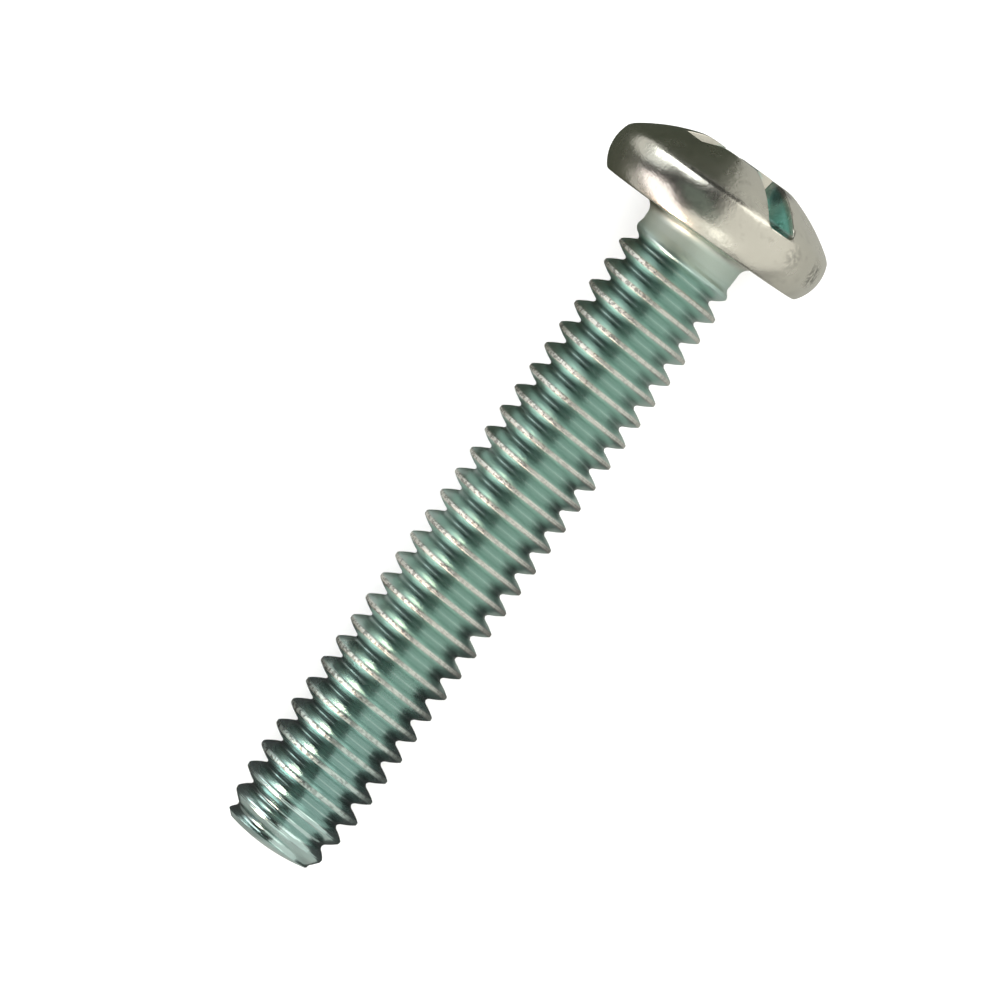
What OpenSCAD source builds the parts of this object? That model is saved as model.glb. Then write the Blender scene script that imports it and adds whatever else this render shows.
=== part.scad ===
// Machine screw with a pan head and a combined slot and cross recess,
// lying on its side as it comes to rest, in millimetres.
// The screw is modelled upright first: its axis is Z, the bearing face under
// the head is at Z = 0, the head is above it and the shank below it.

/* [Head] */
// Diameter of the head at the widest part of its bulging side
head_diameter = 12.38; // [11:0.01:14]
// Height of the head from the bearing face to the flat on its crown
head_height = 4.19; // [3.6:0.01:5.2]
// Radius of the domed crown
crown_radius = 9.7; // [8.6:0.1:14]
// Diameter of the small flat on top of the crown
crown_flat = 5.0; // [3:0.1:6]
// Radius of the bulging side, in section
side_radius = 2.24; // [1.9:0.01:2.6]
// Height of the widest part of the side above the bearing face
bulge_height = 1.47; // [1.1:0.01:1.8]

/* [Drive recess] */
// Width of the slot
slot_width = 1.75; // [1.4:0.01:2.1]
// Depth of the slot below the flat on the crown
slot_depth = 1.85; // [1.2:0.01:2.3]
// Radius of the two corners at the bottom of the slot
slot_corner = 0.35; // [0.1:0.05:0.6]
// Diameter over the wings of the cross recess, at the flat on the crown
cross_diameter = 7.8; // [6.4:0.1:8.2]
// Width of each wing of the cross recess, at the flat on the crown
wing_width = 1.8; // [1.4:0.01:2.1]
// Depth of the cross recess below the flat on the crown
cross_depth = 3.3; // [2.6:0.1:3.5]
// Slope of the outer ends of the wings, in degrees from the axis
wing_slope = 27; // [20:0.5:30]
// Slope of the sides of the wings, in degrees from the axis
wing_draft = 4; // [1:0.5:6]
// Turn of the slot about the axis, in degrees from the line that lies uppermost
recess_turn = 33; // [0:1:180]

/* [Neck] */
// Diameter of the plain neck between the head and the thread
neck_diameter = 5.46; // [5.2:0.01:5.7]
// Length of the plain neck below the bearing face
neck_length = 0.9; // [0.8:0.05:1.2]
// Radius of the fillet between the bearing face and the neck
neck_fillet = 0.45; // [0.1:0.05:0.7]

/* [Thread] */
// Length of the screw from the bearing face to its end
length = 37.1; // [16:0.1:60]
// Diameter over the crests of the thread
thread_diameter = 6.2; // [6:0.01:6.35]
// Diameter at the roots of the thread
root_diameter = 4.6; // [4.4:0.01:4.8]
// Distance from one crest to the next
pitch = 1.27; // [1:0.01:1.5]
// Width of the flat on each crest
crest_flat = 0.16; // [0.08:0.01:0.24]
// Width of the rounded root
root_width = 0.26; // [0.16:0.01:0.34]
// Way the thread winds, as the photograph shows it
thread_hand = "left"; // [left, right]
// Turn of the thread about the axis, in degrees
thread_turn = 358; // [0:1:360]
// Length over which the crests rise from the neck
crest_runout = 1.7; // [1:0.1:2.5]
// Length over which the roots sink from the neck
root_runout = 0.7; // [0.5:0.1:1.5]

/* [Point] */
// Length at the end over which the crests get lower
point_taper = 3.2; // [1:0.1:4]
// Diameter over the last, lowest crest
point_crest = 5.1; // [4.9:0.1:5.6]
// Diameter of the end face
end_diameter = 4.5; // [4:0.1:4.8]
// Length of the small chamfer between the last crest and the end face
end_chamfer = 0.3; // [0.1:0.05:0.5]
// How far the middle of the end face bulges
end_bulge = 0.25; // [0.05:0.01:0.3]

/* [Hidden] */
$fn = 96;

// Head section: a dome and a round side, each an arc about its own centre
crown_centre = head_height - sqrt(pow(crown_radius, 2) - pow(crown_flat / 2, 2));
side_centre = head_diameter / 2 - side_radius;

// Point: the end face is a shallow cap of this radius
bulge_radius = (pow(end_diameter / 2, 2) + pow(end_bulge, 2)) / (2 * end_bulge);

// Thread: a strip one pitch wide, wound round the core in short straight steps
steps = 32;
turning = thread_hand == "left" ? 1 : -1;
core_radius = neck_diameter / 2 - 0.02;
strip_top = pitch - neck_length + 0.08;
columns = ceil(steps * (strip_top + length + 0.2) / pitch);
flank = (pitch - crest_flat - root_width) / 2;
root_rise = 0.045;
// Section of one pitch from the top down: how far below its upper edge each point
// lies, and whether it is a crest (1), the edge of a root (0) or the middle of a root (-1)
section = [
    [0, 1],
    [crest_flat, 1],
    [crest_flat + flank, 0],
    [crest_flat + flank + root_width / 2, -1],
    [crest_flat + flank + root_width, 0]
];

// From 0 at start to 1 at start + span, measured down the shank
function ramp(z, start, span) = max(0, min(1, (-z - start) / span));

function crest_radius(z) =
    core_radius
    + (thread_diameter / 2 - core_radius) * ramp(z, neck_length, crest_runout)
    - (thread_diameter - point_crest) / 2 * ramp(z, length - point_taper, point_taper);

function root_radius(z, rise) =
    core_radius
    + (root_diameter / 2 + rise - core_radius) * ramp(z, neck_length + 0.4, root_runout);

function strip_radius(z, kind) =
    kind == 1 ? crest_radius(z) : root_radius(z, kind == 0 ? root_rise : 0);

function strip_point(column, place) =
    let (
        angle = turning * (thread_turn + 360 * column / steps),
        z = strip_top - pitch * column / steps - section[place][0],
        r = strip_radius(z, section[place][1])
    )
    [r * cos(angle), r * sin(angle), z];

// Lying at rest: the head's side and one crest near the point touch the surface below.
// Each crest on the lowest line is tried, and the one that touches first is the one it rests on.
lowest_crests = [
    for (turn = [1 : ceil(length / pitch)])
        let (z = strip_top - crest_flat - pitch * (turn - thread_turn / 360))
        if (z < -neck_length && z > end_bulge + end_chamfer - length) z
];

function tilt_on(z) =
    let (
        reach = bulge_height - z,
        drop = side_centre - crest_radius(z)
    )
    atan2(drop, reach) + asin(side_radius / sqrt(pow(reach, 2) + pow(drop, 2)));

rest_tilt = min([for (z = lowest_crests) tilt_on(z)]);
rest_height =
    side_centre * cos(rest_tilt) + side_radius - bulge_height * sin(rest_tilt);
head_reach = head_height * cos(rest_tilt) + crown_flat / 2 * sin(rest_tilt);
tip_reach = (length - bulge_radius) * cos(rest_tilt) + bulge_radius;

module head_section() {
    intersection() {
        translate([0, crown_centre]) circle(r = crown_radius);
        union() {
            translate([side_centre, bulge_height]) circle(r = side_radius);
            square([side_centre, head_height]);
        }
        square([head_diameter, head_height]);
    }
}

// Plain neck with a hollow fillet up to the bearing face
module neck_section() {
    translate([0, -neck_length]) square([neck_diameter / 2, neck_length + head_height / 4]);
    difference() {
        translate([0, -neck_fillet]) square([neck_diameter / 2 + neck_fillet, neck_fillet + 0.2]);
        translate([neck_diameter / 2 + neck_fillet, -neck_fillet]) circle(r = neck_fillet);
    }
}

module head_and_neck() {
    rotate_extrude() head_section();
    rotate_extrude() neck_section();
}

// One wing right across the head, narrower at the bottom
module cross_wing() {
    narrow = wing_width - 2 * cross_depth * tan(wing_draft);
    wide = wing_width + 2 * tan(wing_draft);
    rotate([90, 0, 90])
        linear_extrude(height = cross_diameter * 2, center = true)
            polygon([
                [-narrow / 2, 0],
                [narrow / 2, 0],
                [wide / 2, cross_depth + 1],
                [-wide / 2, cross_depth + 1]
            ]);
}

// Outer form of the cross: a cone with a blunt point
module cross_cone() {
    deep = cross_diameter / 2 - cross_depth * tan(wing_slope);
    blunt = 0.35;
    rotate_extrude()
        polygon([
            [0, 0],
            [deep, blunt],
            [cross_diameter / 2 + tan(wing_slope), cross_depth + 1],
            [0, cross_depth + 1]
        ]);
}

// Right across the head, with rounded corners at the bottom
module slot() {
    flat = slot_width / 2 - slot_corner;
    rotate([90, 0, 90])
        linear_extrude(height = 2 * head_diameter, center = true) {
            for (side = [-1, 1]) translate([side * flat, slot_corner]) circle(r = slot_corner);
            translate([-flat, 0]) square([2 * flat, slot_depth + 1]);
            translate([-slot_width / 2, slot_corner])
                square([slot_width, slot_depth + 1 - slot_corner]);
        }
}

module drive_recess() {
    translate([0, 0, head_height - slot_depth]) slot();
    translate([0, 0, head_height - cross_depth])
        intersection() {
            cross_cone();
            union() {
                cross_wing();
                rotate([0, 0, 90]) cross_wing();
                cylinder(h = cross_depth + 1, r1 = wing_width * 0.5, r2 = wing_width * 0.95);
            }
        }
}

// The wound strip, closed by a fan of triangles at each end
module thread_body() {
    places = len(section);
    points = [
        for (c = [0 : columns + steps], p = [0 : places - 1]) strip_point(c, p),
        [0, 0, strip_top - pitch / 2],
        [0, 0, strip_top - pitch * (columns / steps + 0.5)]
    ];
    top_hub = len(points) - 2;
    end_hub = len(points) - 1;
    // The lower edge of each column is the upper edge of the column one turn on
    function at(c, p) = p < places ? c * places + p : (c + steps) * places;
    // The rim of an end: round the open edge, then up the edge of the first column
    function rim(c) = concat(
        [for (i = [0 : steps]) at(c + i, 0)],
        [for (p = [places - 1 : -1 : 1]) at(c, p)]
    );
    top = rim(0);
    end = rim(columns);
    wall = [
        for (c = [0 : columns - 1], p = [0 : places - 1], half = [0, 1])
            half == 0
                ? [at(c, p), at(c + 1, p), at(c + 1, p + 1)]
                : [at(c, p), at(c + 1, p + 1), at(c, p + 1)]
    ];
    caps = [
        for (i = [0 : len(top) - 1], half = [0, 1])
            half == 0
                ? [top_hub, top[(i + 1) % len(top)], top[i]]
                : [end_hub, end[i], end[(i + 1) % len(end)]]
    ];
    faces = concat(wall, caps);
    polyhedron(points, turning == 1 ? faces : [for (f = faces) [f[2], f[1], f[0]]]);
}

// Outer form of the point: chamfer and slightly bulging end
module point_form() {
    widest = thread_diameter;
    translate([0, 0, -length])
        rotate_extrude() {
            intersection() {
                translate([0, bulge_radius]) circle(r = bulge_radius, $fn = 360);
                square([end_diameter / 2, end_bulge]);
            }
            polygon([
                [0, end_bulge],
                [end_diameter / 2, end_bulge],
                [point_crest / 2 + 0.02, end_bulge + end_chamfer],
                [widest, end_bulge + end_chamfer + 2],
                [widest, length + pitch],
                [0, length + pitch]
            ]);
        }
}

module upright_screw() {
    difference() {
        union() {
            head_and_neck();
            intersection() {
                thread_body();
                point_form();
            }
        }
        rotate([0, 0, recess_turn]) drive_recess();
    }
}

module machine_screw() {
    color([0.66, 0.71, 0.68])
        translate([(tip_reach - head_reach) / 2, 0, rest_height])
            rotate([0, 90 - rest_tilt, 0])
                upright_screw();
}

machine_screw();
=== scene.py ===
"""The looks of a zinc-plated machine screw that lies on a pale floor.

The screw is modelled upright and in millimetres, as in the part's source: its axis is Z,
the bearing face under the head is at Z = 0, the head is above it, and -X lies uppermost.
At the end it is laid down as it rests, and made its real size in metres.
"""

from math import asin, atan2, cos, hypot, pi, radians, sin, sqrt, tan
from types import SimpleNamespace

import bpy
from mathutils import Matrix, Vector


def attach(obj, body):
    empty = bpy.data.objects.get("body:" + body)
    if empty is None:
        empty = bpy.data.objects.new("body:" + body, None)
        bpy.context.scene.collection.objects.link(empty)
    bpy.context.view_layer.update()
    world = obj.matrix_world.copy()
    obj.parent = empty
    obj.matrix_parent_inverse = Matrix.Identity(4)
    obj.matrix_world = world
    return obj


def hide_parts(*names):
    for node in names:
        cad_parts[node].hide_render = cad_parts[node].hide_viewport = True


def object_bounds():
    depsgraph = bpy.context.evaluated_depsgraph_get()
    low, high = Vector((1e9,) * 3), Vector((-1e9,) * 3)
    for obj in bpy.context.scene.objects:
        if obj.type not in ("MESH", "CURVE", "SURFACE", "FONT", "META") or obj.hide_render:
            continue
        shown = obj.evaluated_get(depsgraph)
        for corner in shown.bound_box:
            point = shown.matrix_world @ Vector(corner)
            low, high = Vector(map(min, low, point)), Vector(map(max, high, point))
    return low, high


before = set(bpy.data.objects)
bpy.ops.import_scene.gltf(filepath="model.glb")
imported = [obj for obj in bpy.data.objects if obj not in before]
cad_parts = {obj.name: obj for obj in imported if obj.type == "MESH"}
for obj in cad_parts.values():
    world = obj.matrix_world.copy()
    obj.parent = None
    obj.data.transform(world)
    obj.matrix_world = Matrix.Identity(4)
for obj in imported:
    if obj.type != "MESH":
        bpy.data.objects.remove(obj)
cad_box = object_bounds()
bpy.ops.object.select_all(action="DESELECT")

MM = 0.001

# The part's source has flat facets, which cut up to this much off its round forms
FACETS = 0.007

# Head
HEAD_DIAMETER = 12.38 - 2 * FACETS
HEAD_HEIGHT = 4.19
CROWN_RADIUS = 9.7
CROWN_FLAT = 5.0
SIDE_RADIUS = 2.24
BULGE_HEIGHT = 1.47
CROWN_ROUNDING = 0.3
SHOULDER_ROUNDING = 0.3
SEAT_ROUNDING = 0.1
TURNED_STEPS = 144

# Drive recess
SLOT_WIDTH = 1.75
SLOT_DEPTH = 1.85
SLOT_CORNER = 0.35
CROSS_DIAMETER = 7.8
WING_WIDTH = 1.8
CROSS_DEPTH = 3.3
WING_SLOPE = radians(27)
WING_DRAFT = radians(4)
RECESS_TURN = radians(33)
RECESS_BLUNT = 0.35
RECESS_MIDDLE = (WING_WIDTH * 0.5, WING_WIDTH * 0.95)
TOOL_ABOVE = 1
RIM_ROUNDING = 0.07
RIM_REACH = 0.04

# Neck
NECK_DIAMETER = 5.46
NECK_LENGTH = 0.9
NECK_FILLET = 0.62

# Thread
LENGTH = 37.1 - FACETS
THREAD_DIAMETER = 6.2 - 2 * FACETS
ROOT_DIAMETER = 4.6
PITCH = 1.27
CREST_FLAT = 0.16
ROOT_WIDTH = 0.26
ROOT_RISE = 0.045
THREAD_TURN = radians(358)
CREST_RUNOUT = 1.7
ROOT_RUNOUT = 0.7
ROOT_RUNOUT_START = 1.3
CREST_ROUNDING = 0.04
ROOT_ROUNDING = 0.09
FLANK_BULGE = 0.03
SEAM_DEPTH = 0.015
SEAM_WIDTH = 0.06
THREAD_STEPS = 80
THREAD_TURNS = 31
CORE_RADIUS = NECK_DIAMETER / 2 - 0.015
THREAD_TOP = PITCH - NECK_LENGTH + 0.08

# Point
POINT_TAPER = 3.2
POINT_CREST = 5.1
END_DIAMETER = 4.5
END_CHAMFER = 0.3
END_BULGE = 0.25
CHAMFER_STAND_OFF = 0.02
POINT_OPENING = 2

# Pose: how the screw lies, and the camera as it stands in the upright screw's own axes
REST_TILT = radians(5.02114)
REST_HEIGHT = 6.04618
REST_SHIFT = 16.3021
CAMERA_PLACE = (-640, 0.4335, 11)
CAMERA_AIM = (0, 0.4335, -16.433)
CAMERA_LENS = 467.2
AXIS_ON_PICTURE = radians(54.59)

# Straight across the slot
SLOT_SIDE = (-sin(RECESS_TURN), cos(RECESS_TURN), 0)

# Marks on the head: on its side, and on the edges and the wall of the slot. The spot on the slot's
# upper edge is a painted shadow, and the glints on its wall are painted highlights.
STAIN = (-2.3, -5.75, 1.55)
SPECKS = (-4.29, -4.45, 1.75)
# The middle of a painted shadow on the slot's upper edge
SLOT_EDGE_SHADOW_SPOT = (-1.5, -2.05, 3.9)
SLOT_FOOT = (-3.0, -3.0, 2.4)
SLOT_CHIPS = (-0.6, -1.45, 3.6)
SLOT_GLINTS = (-2.6, -2.75, 2.8)

# Colours that the plated metal gives to what it reflects
HEAD_PLATE = (0.62, 0.605, 0.53)
NECK_PLATE = (0.57, 0.67, 0.61)
SHANK_PLATE = (0.45, 0.60, 0.55)
POINT_PLATE = (0.455, 0.595, 0.568)
# The recess's teal plating, made paler as painted light on its walls
RECESS_PLATE_PAINTED_LIGHT = (0.48, 0.77, 0.72)
# A painted highlight on the crests
PALE_CREST_HIGHLIGHT = (0.60, 0.61, 0.56)

# Floor and the cards over it, in metres
FLOOR_SIZE = 6
FLAG_HEIGHT = 0.0004
CARD_HEIGHT = 0.0006
FAR = 0.6

LAY_DOWN = (
    Matrix.Scale(MM, 4)
    @ Matrix.Translation((REST_SHIFT, 0, REST_HEIGHT))
    @ Matrix.Rotation(pi / 2 - REST_TILT, 4, "Y")
)


# Modelling


def edit(thing, kind="VERT"):
    bpy.ops.object.select_all(action="DESELECT")
    bpy.context.view_layer.objects.active = thing
    thing.select_set(True)
    bpy.ops.object.mode_set(mode="EDIT")
    bpy.ops.mesh.select_mode(type=kind)


def leave_edit():
    bpy.ops.object.mode_set(mode="OBJECT")


def pick(thing, kind, wanted):
    """Selects the points, edges or faces that the test wants, and returns how many there are."""
    bpy.ops.mesh.select_all(action="DESELECT")
    leave_edit()
    parts = getattr(thing.data, kind)
    chosen = [part for part in parts if wanted(part)]
    for part in chosen:
        part.select = True
    bpy.ops.object.mode_set(mode="EDIT")
    return len(chosen)


def finish_with(thing, kind, **settings):
    """Adds a modifier and applies it."""
    bpy.ops.object.select_all(action="DESELECT")
    bpy.context.view_layer.objects.active = thing
    thing.select_set(True)
    modifier = thing.modifiers.new(kind, kind)
    for setting, value in settings.items():
        setattr(modifier, setting, value)
    bpy.ops.object.modifier_apply(modifier=modifier.name)


def combine(thing, operation, tool):
    finish_with(thing, "BOOLEAN", operation=operation, object=tool, solver="EXACT")
    bpy.data.objects.remove(tool)


def first_point(name, radius, height):
    """A line that is only one point as yet, at a distance from the axis and a height."""
    bpy.ops.mesh.primitive_plane_add(size=1, location=(0, 0, 0))
    line = bpy.context.object
    line.name = name
    edit(line)
    bpy.ops.mesh.select_all(action="SELECT")
    bpy.ops.mesh.merge(type="CENTER")
    bpy.ops.transform.translate(value=(radius, 0, height))
    return line


def line_on(outward, upward):
    bpy.ops.mesh.extrude_region_move(TRANSFORM_OT_translate={"value": (outward, 0, upward)})


def arc_on(centre, turn, steps):
    """Draws on round a centre. Spin turns against the axis here, so its angle is negative."""
    bpy.ops.mesh.spin(
        steps=steps, angle=-turn, center=(centre[0], 0, centre[1]), axis=(0, 1, 0)
    )


def round_corner(line, radius, height, size, steps=3):
    def there(point):
        return hypot(point.co.x - radius, point.co.z - height) < 1e-3

    if pick(line, "vertices", there) != 1:
        raise ValueError(f"no single corner of {line.name} at {radius}, {height}")
    bpy.ops.mesh.bevel(offset=size, segments=steps, affect="VERTICES")


def wound(line, steps, rise=0.0, turns=1):
    """Turns a line round the axis: once for a turned form, more for a thread that winds down."""
    leave_edit()
    finish_with(
        line,
        "SCREW",
        axis="Z",
        steps=steps,
        render_steps=steps,
        screw_offset=rise,
        iterations=turns,
        use_merge_vertices=True,
        merge_threshold=1e-4,
    )
    edit(line)
    bpy.ops.mesh.select_all(action="SELECT")
    bpy.ops.mesh.remove_doubles(threshold=1e-4)
    bpy.ops.mesh.normals_make_consistent(inside=False)
    leave_edit()


# Head

CROWN_CENTRE = HEAD_HEIGHT - sqrt(CROWN_RADIUS**2 - (CROWN_FLAT / 2) ** 2)
SIDE_CENTRE = HEAD_DIAMETER / 2 - SIDE_RADIUS


def shoulder():
    """Where the dome meets the round side: two circles cross there."""
    apart = hypot(SIDE_CENTRE, BULGE_HEIGHT - CROWN_CENTRE)
    along = (CROWN_RADIUS**2 - SIDE_RADIUS**2 + apart**2) / (2 * apart)
    across = sqrt(CROWN_RADIUS**2 - along**2)
    ux, uz = SIDE_CENTRE / apart, (BULGE_HEIGHT - CROWN_CENTRE) / apart
    return along * ux + across * uz, CROWN_CENTRE + along * uz - across * ux


def turned_head():
    out, up = shoulder()
    seat = SIDE_CENTRE + sqrt(SIDE_RADIUS**2 - BULGE_HEIGHT**2)
    dome_from = asin(CROWN_FLAT / 2 / CROWN_RADIUS)
    dome_to = asin(out / CROWN_RADIUS)
    side_from = atan2(out - SIDE_CENTRE, up - BULGE_HEIGHT)
    side_to = pi - asin((seat - SIDE_CENTRE) / SIDE_RADIUS)
    neck = NECK_DIAMETER / 2

    line = first_point("head", 0, HEAD_HEIGHT)
    line_on(CROWN_FLAT / 2, 0)
    arc_on((0, CROWN_CENTRE), dome_to - dome_from, 14)
    arc_on((SIDE_CENTRE, BULGE_HEIGHT), side_to - side_from, 16)
    line_on(neck + NECK_FILLET - seat, 0)
    arc_on((neck + NECK_FILLET, -NECK_FILLET), -pi / 2, 10)
    line_on(0, NECK_FILLET - NECK_LENGTH)
    line_on(-neck, 0)
    round_corner(line, CROWN_FLAT / 2, HEAD_HEIGHT, CROWN_ROUNDING)
    round_corner(line, out, up, SHOULDER_ROUNDING, 4)
    round_corner(line, seat, 0, SEAT_ROUNDING)
    wound(line, TURNED_STEPS)
    return line


def slot_tool():
    bottom = HEAD_HEIGHT - SLOT_DEPTH
    tall = 4
    bpy.ops.mesh.primitive_cube_add(
        size=1, location=(0, 0, bottom + tall / 2), scale=(2 * HEAD_DIAMETER, SLOT_WIDTH, tall)
    )
    slot = bpy.context.object
    bpy.ops.object.transform_apply(location=True, rotation=False, scale=True)
    edit(slot, "EDGE")
    corners = slot.data.vertices

    def along_bottom(edge):
        ends = [corners[i].co for i in edge.vertices]
        return max(e.z for e in ends) < bottom + 0.01 and abs(ends[0].y - ends[1].y) < 0.01

    pick(slot, "edges", along_bottom)
    bpy.ops.mesh.bevel(offset=SLOT_CORNER, segments=6)
    leave_edit()
    return slot


def wing_tool():
    deep = CROSS_DEPTH + TOOL_ABOVE
    wide = WING_WIDTH + 2 * TOOL_ABOVE * tan(WING_DRAFT)
    narrow = WING_WIDTH - 2 * CROSS_DEPTH * tan(WING_DRAFT)
    bpy.ops.mesh.primitive_cube_add(
        size=1,
        location=(0, 0, HEAD_HEIGHT - CROSS_DEPTH + deep / 2),
        scale=(2 * CROSS_DIAMETER, wide, deep),
    )
    wing = bpy.context.object
    bpy.ops.object.transform_apply(location=True, rotation=False, scale=True)
    edit(wing, "FACE")
    pick(wing, "polygons", lambda face: face.normal.z < -0.5)
    bpy.ops.transform.resize(value=(1, narrow / wide, 1), center_override=(0, 0, 0))
    leave_edit()
    return wing


def cross_tool():
    """Two wings and a round middle, inside a cone with a blunt point."""
    bottom = HEAD_HEIGHT - CROSS_DEPTH
    cross = wing_tool()
    other = wing_tool()
    other.rotation_euler = (0, 0, pi / 2)
    combine(cross, "UNION", other)
    at_bottom, at_top = RECESS_MIDDLE
    middle = first_point("middle", 0, bottom)
    line_on(at_bottom, 0)
    line_on(at_top - at_bottom, CROSS_DEPTH + TOOL_ABOVE)
    line_on(-at_top, 0)
    wound(middle, 48)
    combine(cross, "UNION", middle)

    deep = CROSS_DIAMETER / 2 - CROSS_DEPTH * tan(WING_SLOPE)
    wide = CROSS_DIAMETER / 2 + TOOL_ABOVE * tan(WING_SLOPE)
    cone = first_point("cone", 0, bottom)
    line_on(deep, RECESS_BLUNT)
    line_on(wide - deep, CROSS_DEPTH + TOOL_ABOVE - RECESS_BLUNT)
    line_on(-wide, 0)
    wound(cone, 96)
    combine(cross, "INTERSECT", cone)
    return cross


def on_outside(place):
    """Whether a point is on the dome, the crown or the side of the head."""
    radius = hypot(place.x, place.y)
    under_dome = CROWN_RADIUS - hypot(radius, place.z - CROWN_CENTRE)
    under_side = SIDE_RADIUS - hypot(radius - SIDE_CENTRE, place.z - BULGE_HEIGHT)
    if place.z < BULGE_HEIGHT:
        return False
    return under_dome < RIM_REACH or radius > SIDE_CENTRE and under_side < RIM_REACH


def soften_rim(head):
    """Rounds the edge where the recess opens through the outside of the head."""
    edit(head, "EDGE")
    bpy.ops.mesh.select_all(action="DESELECT")
    bpy.ops.mesh.edges_select_sharp(sharpness=radians(40))
    leave_edit()
    sharp = {edge.index for edge in head.data.edges if edge.select}
    points = head.data.vertices
    bpy.ops.object.mode_set(mode="EDIT")

    def on_rim(edge):
        return edge.index in sharp and all(on_outside(points[i].co) for i in edge.vertices)

    pick(head, "edges", on_rim)
    bpy.ops.mesh.bevel(offset=RIM_ROUNDING, segments=3, clamp_overlap=False)
    leave_edit()


def head_with_recess():
    head = turned_head()
    for tool in (slot_tool(), cross_tool()):
        tool.rotation_euler = (0, 0, RECESS_TURN)
        combine(head, "DIFFERENCE", tool)
    soften_rim(head)
    return head


# Thread


def ramp(depth, start, span):
    return max(0.0, min(1.0, (depth - start) / span))


def crest_radius(depth):
    rise = THREAD_DIAMETER / 2 - CORE_RADIUS
    taper = (THREAD_DIAMETER - POINT_CREST) / 2
    full = CORE_RADIUS + rise * ramp(depth, NECK_LENGTH, CREST_RUNOUT)
    return full - taper * ramp(depth, LENGTH - POINT_TAPER, POINT_TAPER)


def root_radius(depth):
    sink = ROOT_DIAMETER / 2 - CORE_RADIUS
    return CORE_RADIUS + sink * ramp(depth, ROOT_RUNOUT_START, ROOT_RUNOUT)


def flank_on(start, end):
    """Draws a flank of the thread, which bulges a little as a rolled one does."""
    out, up = end[0] - start[0], end[1] - start[1]
    straight = hypot(out, up)
    radius = (straight**2 / 4 + FLANK_BULGE**2) / (2 * FLANK_BULGE)
    inward = (radius - FLANK_BULGE) / straight
    centre = ((start[0] + end[0]) / 2 + up * inward, (start[1] + end[1]) / 2 - out * inward)
    arc_on(centre, 2 * asin(straight / 2 / radius), 5)


def thread_line():
    """The outline of one pitch, from the middle of a root down to the next."""
    crest, root = THREAD_DIAMETER / 2, ROOT_DIAMETER / 2
    edge = root + ROOT_RISE
    flank = (PITCH - CREST_FLAT - ROOT_WIDTH) / 2
    bottom = THREAD_TOP - CREST_FLAT
    seam_edge = (CREST_FLAT - SEAM_WIDTH) / 2

    line = first_point("thread", root, THREAD_TOP + flank + ROOT_WIDTH / 2)
    line_on(ROOT_RISE, -ROOT_WIDTH / 2)
    flank_on((edge, THREAD_TOP + flank), (crest, THREAD_TOP))
    line_on(0, -seam_edge)
    line_on(-SEAM_DEPTH, -SEAM_WIDTH / 2)
    line_on(SEAM_DEPTH, -SEAM_WIDTH / 2)
    line_on(0, -seam_edge)
    flank_on((crest, bottom), (edge, bottom - flank))
    line_on(-ROOT_RISE, -ROOT_WIDTH / 2)
    round_corner(line, edge, THREAD_TOP + flank, ROOT_ROUNDING, 2)
    round_corner(line, crest, THREAD_TOP, CREST_ROUNDING, 2)
    round_corner(line, crest, bottom, CREST_ROUNDING, 2)
    round_corner(line, edge, bottom - flank, ROOT_ROUNDING, 2)
    return line


def fade_thread(thread):
    """Lets the thread run out at the neck and get lower at the point."""
    crest, root = THREAD_DIAMETER / 2, ROOT_DIAMETER / 2
    for point in thread.data.vertices:
        radius = hypot(point.co.x, point.co.y)
        depth = -point.co.z
        share = max(0.0, (radius - root) / (crest - root))
        faded = root_radius(depth) + share * (crest_radius(depth) - root_radius(depth))
        point.co.x *= faded / radius
        point.co.y *= faded / radius


def close_ends(thread):
    """Closes each open end of the wound strip with a fan of faces."""
    edit(thread, "EDGE")
    bpy.ops.mesh.select_all(action="DESELECT")
    bpy.ops.mesh.select_non_manifold(
        extend=False, use_wire=False, use_boundary=True, use_multi_face=False,
        use_non_contiguous=False, use_verts=False,
    )
    leave_edit()
    rims = [point.index for point in thread.data.vertices if point.select]
    middle = sum(thread.data.vertices[i].co.z for i in rims) / len(rims)
    for above in (True, False):
        edit(thread, "VERT")

        def on_rim(point, rim=frozenset(rims), above=above):
            return point.index in rim and (point.co.z > middle) == above

        pick(thread, "vertices", on_rim)
        bpy.ops.mesh.select_mode(type="EDGE")
        bpy.ops.mesh.extrude_region()
        bpy.ops.mesh.select_mode(type="VERT")
        bpy.ops.mesh.merge(type="CENTER")
        leave_edit()
    edit(thread)
    bpy.ops.mesh.select_all(action="SELECT")
    bpy.ops.mesh.normals_make_consistent(inside=False)
    leave_edit()


def rolled_thread():
    thread = thread_line()
    wound(thread, THREAD_STEPS, -PITCH, THREAD_TURNS)
    thread.rotation_euler = (0, 0, THREAD_TURN)
    bpy.ops.object.transform_apply(location=False, rotation=True, scale=False)
    fade_thread(thread)
    close_ends(thread)
    return thread


def point_tool():
    """The outer form of the point: a shallow cap, a small chamfer, and nothing above it."""
    end = END_DIAMETER / 2
    bulge_radius = (end**2 + END_BULGE**2) / (2 * END_BULGE)
    chamfered = POINT_CREST / 2 + CHAMFER_STAND_OFF
    line = first_point("point", 0, -LENGTH)
    arc_on((0, bulge_radius - LENGTH), -asin(end / bulge_radius), 8)
    line_on(chamfered - end, END_CHAMFER)
    line_on(THREAD_DIAMETER - chamfered, POINT_OPENING)
    line_on(0, LENGTH + PITCH - POINT_OPENING - END_CHAMFER - END_BULGE)
    line_on(-THREAD_DIAMETER, 0)
    wound(line, TURNED_STEPS)
    return line


def machine_screw():
    thread = rolled_thread()
    combine(thread, "INTERSECT", point_tool())
    screw = head_with_recess()
    combine(screw, "UNION", thread)
    screw.name = screw.data.name = "plated_screw"
    screw.matrix_world = LAY_DOWN
    bpy.ops.object.select_all(action="DESELECT")
    screw.select_set(True)
    bpy.context.view_layer.objects.active = screw
    bpy.ops.object.transform_apply(location=True, rotation=True, scale=True)
    bpy.ops.object.shade_smooth_by_angle(angle=radians(32))
    return screw


# Material


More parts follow.
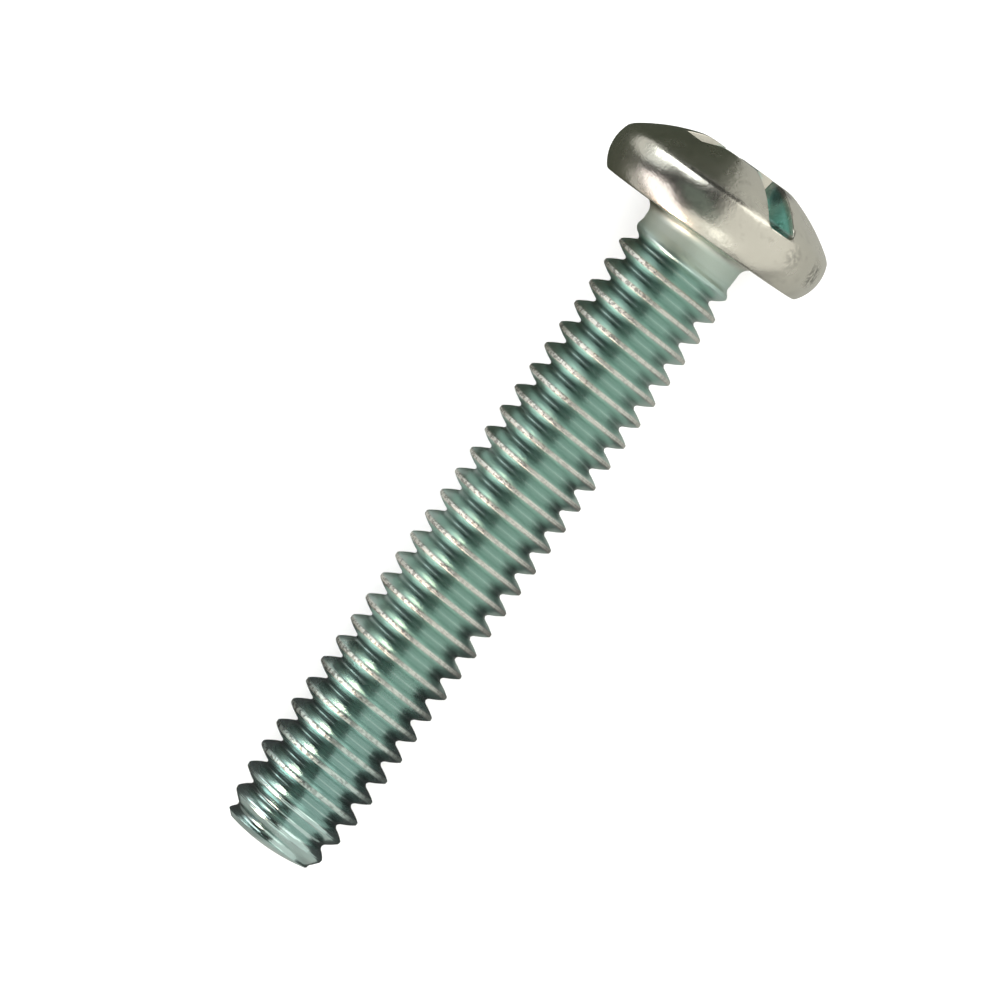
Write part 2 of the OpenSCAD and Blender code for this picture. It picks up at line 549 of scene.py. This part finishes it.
class Value:
    """A socket of a material, written in sums as a number is."""

    def __init__(self, shader, socket):
        self.shader, self.socket = shader, socket

    def _sum(self, operation, *terms):
        vector = any(isinstance(term, tuple) for term in terms)
        kind = "VectorMath" if vector else "Math"
        return self.shader.node(kind, {"operation": operation}, terms)

    def __add__(self, other):
        return self._sum("ADD", self, other)

    def __sub__(self, other):
        return self._sum("SUBTRACT", self, other)

    def __rsub__(self, other):
        return self._sum("SUBTRACT", other, self)

    def __mul__(self, other):
        return self._sum("MULTIPLY", self, other)

    def __abs__(self):
        return self._sum("ABSOLUTE", self)

    __radd__ = __add__
    __rmul__ = __mul__


class Shader:
    """The nodes of one material."""

    def __init__(self, name):
        self.material = bpy.data.materials.new(name)
        self.material.use_nodes = True
        self.tree = self.material.node_tree
        self.tree.nodes.clear()

    def node(self, kind, settings=None, values=(), result=0):
        """Makes a node, sets it, then fills or links its sockets. Gives the wanted output."""
        made = self.tree.nodes.new("ShaderNode" + kind)
        for setting, value in (settings or {}).items():
            setattr(made, setting, value)
        pairs = values.items() if isinstance(values, dict) else enumerate(values)
        for socket, value in pairs:
            if isinstance(value, Value):
                self.tree.links.new(value.socket, made.inputs[socket])
            else:
                made.inputs[socket].default_value = value
        return Value(self, made.outputs[result])

    def colour_mix(self, share, first, second):
        colours = [c if isinstance(c, Value) else (*c, 1) for c in (first, second)]
        return self.node(
            "Mix", {"data_type": "RGBA"}, {0: share, 6: colours[0], 7: colours[1]}, result=2
        )

    def shaded(self, colour, shade):
        settings = {"data_type": "RGBA", "blend_type": "MULTIPLY"}
        return self.node("Mix", settings, {0: 1.0, 6: colour, 7: shade}, result=2)

    def step(self, value, low, high):
        """0 below low, 1 above high, smooth between."""
        return self.node(
            "MapRange", {"interpolation_type": "SMOOTHSTEP"}, [value, low, high, 0.0, 1.0]
        )

    def show(self, **values):
        self.node("BsdfPrincipled", values={k.replace("_", " "): v for k, v in values.items()})
        surface = self.tree.nodes[-1].outputs[0]
        out = self.tree.nodes.new("ShaderNodeOutputMaterial")
        self.tree.links.new(surface, out.inputs["Surface"])
        return self.material


class ScrewSkin(Shader):
    """A material that knows where a point is on the upright screw, in millimetres."""

    def __init__(self, name):
        super().__init__(name)
        self.place = self.node(
            "Mapping",
            {"vector_type": "TEXTURE"},
            [
                self.node("TexCoord", result=3),
                (REST_SHIFT * MM, 0, REST_HEIGHT * MM),
                (0, pi / 2 - REST_TILT, 0),
                (MM, MM, MM),
            ],
        )

    def noise(self, scale, detail):
        return self.node(
            "TexNoise", values={"Vector": self.place, "Scale": scale, "Detail": detail}
        )

    def distance(self, spot):
        return self.node("VectorMath", {"operation": "LENGTH"}, [self.place - spot], result=1)

    def near(self, spot, size):
        """1 at the spot, and 0 from this far off."""
        return 1 - self.step(self.distance(spot), 0.3 * size, size)


def parts_of_screw(s):
    """Masks of the screw's parts. Each is 1 on its part and 0 off it."""
    leftward = s.node("SeparateXYZ", values=[s.place], result=1)
    height = s.node("SeparateXYZ", values=[s.place], result=2)
    across = s.node("VectorMath", {"operation": "MULTIPLY"}, [s.place, (1, 1, 0)])
    radius = s.node("VectorMath", {"operation": "LENGTH"}, [across], result=1)
    off_slot = s.node("VectorMath", {"operation": "DOT_PRODUCT"}, [s.place, SLOT_SIDE], result=1)
    under_dome = CROWN_RADIUS - s.distance((0, 0, CROWN_CENTRE))

    part = SimpleNamespace()
    part.head = s.step(height, -0.6, 0.0)
    part.neck = s.step(height, -1.9, -0.9) * (1 - part.head)
    part.thread = 1 - s.step(height, -2.0, -1.0)
    part.tip = 1 - s.step(height, -34.0, -22.0)
    # The left side, where the crest nicks get painted shade
    part.left = s.step(leftward, -0.5, 1.0)
    # The thread's two sides as seen from above: painted light on their flanks, painted shade in
    # their roots
    part.sides = s.step(abs(leftward + 0.5), 0.7, 1.7) * part.thread
    part.crest = s.step(radius, 2.97, 3.09) * (1 - part.head)
    # Painted shade in the roots of the thread, on its two sides, up to the point
    part.root = (1 - s.step(radius, 2.33, 2.6)) * part.sides * s.step(height, -36.9, -36.4)
    part.recess = (
        s.step(under_dome, 0.12, 0.4)
        * s.step(height, 0.3, 0.6)
        * (1 - s.step(radius, 5.7, 5.95))
        * (1 - s.step(abs(off_slot), 1.2, 1.9))
        * (1 - s.near(SLOT_CHIPS, 0.8))
    )
    part.outside = part.head * (1 - part.recess)
    return part


def zinc_plate():
    s = ScrewSkin("zinc_plate")
    part = parts_of_screw(s)
    cloud, dents = s.noise(0.9, 4.0), s.noise(1.7, 3.0)
    grain, burr = s.noise(7.0, 5.0), s.noise(5.0, 2.0)

    flecks = s.step(burr, 0.4, 0.6)
    pits = s.step(s.noise(1.5, 2.0), 0.55, 0.7) * part.outside
    stain = s.near(STAIN, 0.9) * flecks
    specks = (s.near(SPECKS, 0.8) + s.near(SLOT_CHIPS, 0.7) + 2.0 * s.near(SLOT_FOOT, 0.6)) * flecks
    # Real specks, with a painted shadow added on the slot's upper edge
    specks_and_slot_shadow = specks + 2.7 * s.near(SLOT_EDGE_SHADOW_SPOT, 1.0)
    # Painted glints: small pale spots on the slot's wall
    glints = s.near(SLOT_GLINTS, 1.0) * s.step(grain, 0.56, 0.62)
    # Dark nicks on the crests, with painted shade added on the left side; more of them toward the
    # point
    crest_nicks_and_shade = part.crest * (0.2 + 0.4 * part.left + 0.2 * part.tip) * s.step(burr, 0.48, 0.6)

    colour = s.colour_mix(part.tip, SHANK_PLATE, POINT_PLATE)
    colour = s.colour_mix(part.neck, colour, NECK_PLATE)
    # The recess walls get the plating made paler, as painted light
    colour = s.colour_mix(part.recess, colour, RECESS_PLATE_PAINTED_LIGHT)
    # Painted highlight: the crests are paler, less so toward the point
    colour = s.colour_mix(part.crest * (1 - 0.7 * part.tip), colour, PALE_CREST_HIGHLIGHT)
    colour = s.colour_mix(part.outside, colour, HEAD_PLATE)
    # Painted light: the thread's flanks are lighter on its two sides
    shade = 0.95 + 0.16 * cloud + 0.1 * part.sides + 0.5 * glints
    # Painted shade: darker roots on the thread's two sides
    shade = shade - 0.12 * pits - 0.6 * stain - 0.3 * specks_and_slot_shadow - crest_nicks_and_shade - 0.5 * part.root

    rough = 0.21 + 0.1 * cloud + 0.35 * part.neck + 0.1 * stain + 0.15 * part.crest
    rough = rough + 0.05 * part.thread - 0.1 * part.tip
    relief = 0.006 * grain + (0.011 * dents + 0.008 * burr) * part.outside
    relief = relief + 0.015 * (burr - 0.5) * part.crest
    bump = s.node("Bump", values={"Strength": 1.0, "Distance": MM, "Height": relief})
    return s.show(Base_Color=s.shaded(colour, shade), Metallic=1.0, Roughness=rough, Normal=bump)


def floor_paint():
    s = Shader("floor_paint")
    return s.show(Base_Color=(0.9, 0.9, 0.9, 1), Roughness=0.9)


# Camera, floor and light


def camera():
    place, aim = Vector(CAMERA_PLACE), Vector(CAMERA_AIM)
    ahead = (aim - place).normalized()
    side = ahead.cross(Vector((0, 0, 1))).normalized()
    headward = side.cross(ahead)
    right = cos(AXIS_ON_PICTURE) * headward + sin(AXIS_ON_PICTURE) * side
    up = sin(AXIS_ON_PICTURE) * headward - cos(AXIS_ON_PICTURE) * side
    stand = Matrix((right, up, -ahead)).transposed().to_4x4()
    turn = (LAY_DOWN.to_3x3().normalized().to_4x4()) @ stand
    bpy.ops.object.camera_add(location=LAY_DOWN @ place, rotation=turn.to_euler())
    view = bpy.context.object
    view.data.lens = CAMERA_LENS
    view.data.sensor_width = 36
    view.data.clip_start = 0.01
    view.data.clip_end = 20
    bpy.context.scene.camera = view


def floor():
    bpy.ops.mesh.primitive_plane_add(size=FLOOR_SIZE, location=(0, 0, cad_box[0].z))
    ground = bpy.context.object
    ground.name = "floor"
    ground.data.materials.append(floor_paint())


def from_screw(azimuth, elevation, distance):
    """A place as it is seen from the screw: azimuth 0 is past the head, 90 left in the picture."""
    level = distance * cos(radians(elevation))
    return Vector(
        (
            level * cos(radians(azimuth)),
            level * sin(radians(azimuth)),
            distance * sin(radians(elevation)),
        )
    )


def softbox(name, upper, lower, width, brightness, colour=(1, 1, 1)):
    """A lit panel between the middles of its upper and its lower edge, turned to the screw.

    Its brightness is that of its face, where 1 is white in the picture.
    """
    top, bottom = from_screw(*upper), from_screw(*lower)
    along = (top - bottom).normalized()
    across = along.cross(top + bottom).normalized()
    bpy.ops.object.light_add(type="AREA", location=(top + bottom) / 2)
    lamp = bpy.context.object
    lamp.name = name
    lamp.rotation_euler = Matrix((across, along, across.cross(along))).transposed().to_euler()
    lamp.data.shape = "RECTANGLE"
    lamp.data.size, lamp.data.size_y = width, (top - bottom).length
    lamp.data.energy = brightness * pi * lamp.data.size * lamp.data.size_y
    lamp.data.color = colour
    return lamp


def flag(name, low, high, height, shade):
    """A dark card just over the floor. Only the metal sees it, as it would see a dark table."""
    bpy.ops.mesh.primitive_plane_add(
        size=1, location=((low[0] + high[0]) / 2, (low[1] + high[1]) / 2, height)
    )
    card = bpy.context.object
    card.name = name
    card.scale = (high[0] - low[0], high[1] - low[1], 1)
    card.data.materials.append(flag_cloth(shade))
    card.visible_camera = card.visible_diffuse = card.visible_shadow = False


def flag_cloth(shade):
    s = Shader("flag_cloth")
    return s.show(Base_Color=(*shade, 1), Roughness=1.0)


def room():
    """Plain white. It whitens the floor, and the metal doesn't see it."""
    world = bpy.data.worlds.new("room")
    bpy.context.scene.world = world
    world.use_nodes = True
    world.node_tree.nodes["Background"].inputs["Color"].default_value = (1.3, 1.3, 1.3, 1)
    world.cycles_visibility.glossy = False
    bpy.context.scene.view_settings.view_transform = "Standard"


def softboxes():
    softbox("right_tent", (270, 84, 0.75), (270, 0, 0.75), 2.4, 0.95, (1, 0.98, 0.93))
    softbox("head_right_box", (333, 40, 0.6), (333, 0, 0.6), 0.3, 1.1, (1, 0.98, 0.93))
    softbox("tip_end_box", (180, 50, 0.6), (180, 0, 0.6), 0.4, 1.0, (1, 1, 0.95))
    softbox("head_window", (32, 44, 0.6), (60, 0, 0.6), 0.22, 3.6, (0.97, 1, 1))
    softbox("head_fill", (72, 28, 0.65), (80, 0, 0.65), 0.22, 1.1, (0.97, 1, 1))
    softbox("left_ceiling", (150, 86, 0.7), (125, 54, 0.7), 0.7, 0.2, (0.8, 1, 0.88))
    softbox("tip_window", (133, 35, 0.6), (127, 0, 0.6), 0.47, 2.2, (1, 0.92, 0.95))


def tip_lamp():
    """A small lamp close to the point, which glints on the thread and leaves the floor alone."""
    lamp = softbox("tip_lamp", (150, 25, 0.06), (149, 14, 0.061), 0.011, 48.0, (1, 0.7, 0.55))
    lamp.visible_diffuse = False


def flags():
    """Dark cards on both sides of the screw, with paler ones over them."""
    flag("tip_left_flag", (-FAR, 0.0007), (-0.021, FAR), FLAG_HEIGHT, (0.2, 0.2, 0.19))
    flag("shank_left_flag", (-0.021, 0.0007), (-0.008, FAR), FLAG_HEIGHT, (0.03, 0.03, 0.03))
    flag("mid_left_flag", (-0.008, 0.0007), (0.004, FAR), FLAG_HEIGHT, (0.06, 0.06, 0.05))
    flag("mid_left_card", (-0.008, 0.004), (0.004, 0.04), CARD_HEIGHT, (0.35, 0.35, 0.34))
    flag("head_left_flag", (0.004, 0.0007), (FAR, FAR), FLAG_HEIGHT, (0.025, 0.031, 0.018))
    flag("head_left_card", (0.021, 0.02), (0.045, FAR), CARD_HEIGHT, (0.4, 0.4, 0.39))
    flag("right_flag", (-FAR, -FAR), (FAR, 0.0007), FLAG_HEIGHT, (0.29, 0.29, 0.275))
    flag("shank_right_flag", (-0.021, -FAR), (-0.008, -0.0007), CARD_HEIGHT, (0.03, 0.03, 0.03))
    flag("mid_right_flag", (-0.008, -0.018), (0.004, -0.004), CARD_HEIGHT, (0.05, 0.05, 0.05))


camera()
floor()
room()
softboxes()
tip_lamp()
flags()
screw = machine_screw()
screw.data.materials.clear()
screw.data.materials.append(zinc_plate())
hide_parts("machine_screw")
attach(screw, "root")
